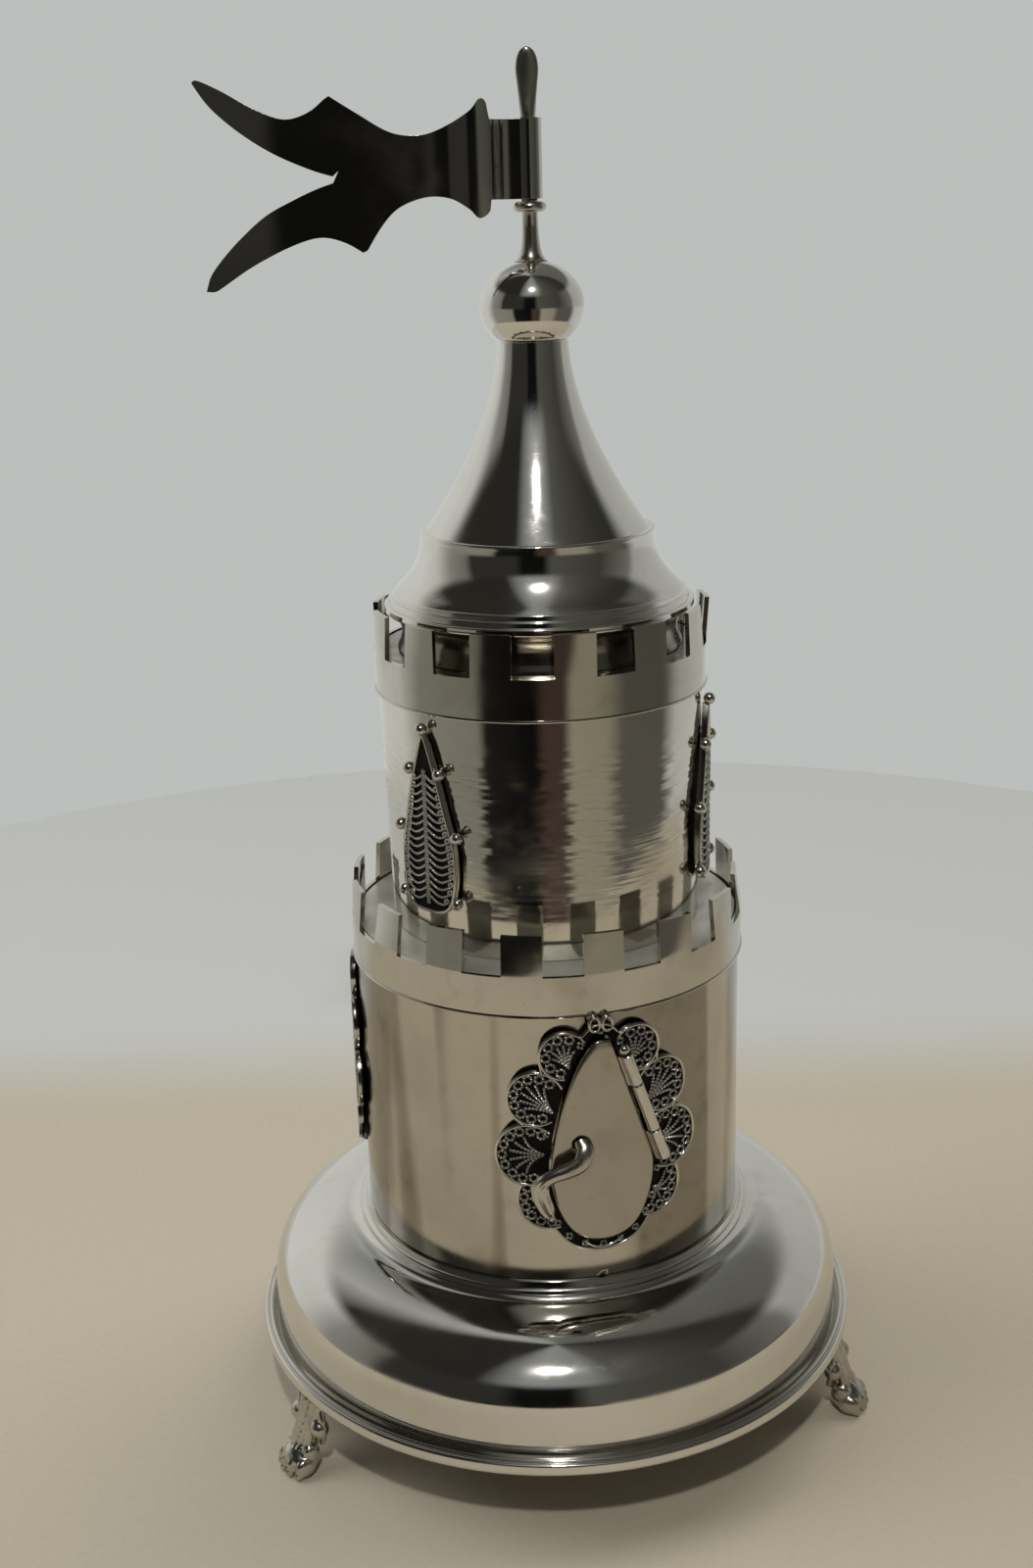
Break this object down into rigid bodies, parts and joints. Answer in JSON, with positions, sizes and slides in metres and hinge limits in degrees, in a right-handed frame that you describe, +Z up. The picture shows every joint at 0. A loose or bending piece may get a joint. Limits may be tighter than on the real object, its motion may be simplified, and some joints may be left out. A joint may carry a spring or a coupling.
{
  "type": "spice tower",
  "caption": "Silver spice tower: domed base on paw feet, battlemented drums, teardrop filigree door, bell roof, ball and swivelling flag.",
  "frame": {"origin": "on the floor, in the middle of the bounding box of the feet and base; the tower's own axis stands 2.5 mm forward of it, because only the back foot reaches past the rim", "axes": "+Z up along the tower, -Y the way the door faces, +X to the right of someone who faces the door"},
  "size_m": [0.1049, 0.1088, 0.2217],
  "materials": {
    "bright_silver": "polished",
    "cast_silver": "satin",
    "filigree_silver": "satin"
  },
  "bodies": {
    "tower": {"base_rim": "bright_silver", "base_dome": "bright_silver", "foot_left": "cast_silver", "foot_right": "cast_silver", "foot_back": "cast_silver", "lower_drum": "bright_silver", "lower_battlement": "bright_silver", "ledge_plate": "bright_silver", "upper_drum": "bright_silver", "upper_battlement": "bright_silver", "upper_deck": "bright_silver", "roof": "bright_silver", "ball_finial": "bright_silver", "finial_rod": "bright_silver", "door_surround": "filigree_silver", "hinge_pin": "bright_silver", "side_plaque_left": "filigree_silver", "side_plaque_right": "filigree_silver", "teardrop_left": "filigree_silver", "teardrop_right": "filigree_silver", "teardrop_back": "filigree_silver"},
    "door": {"door_plate": "bright_silver", "door_handle": "cast_silver"},
    "flag": {"flag": "bright_silver"}
  },
  "joints": [
    {"name": "door_hinge", "type": "hinge", "parent": "tower", "child": "door", "pos_m": [0.00996, -0.03647, 0.0562], "axis": [-0.3215, -0.0622, 0.9449], "range_deg": [0, 115]},
    {"name": "flag_swivel", "type": "hinge", "parent": "tower", "child": "flag", "pos_m": [0, -0.0025, 0.2], "axis": [0, 0, 1], "continuous": true}
  ]
}
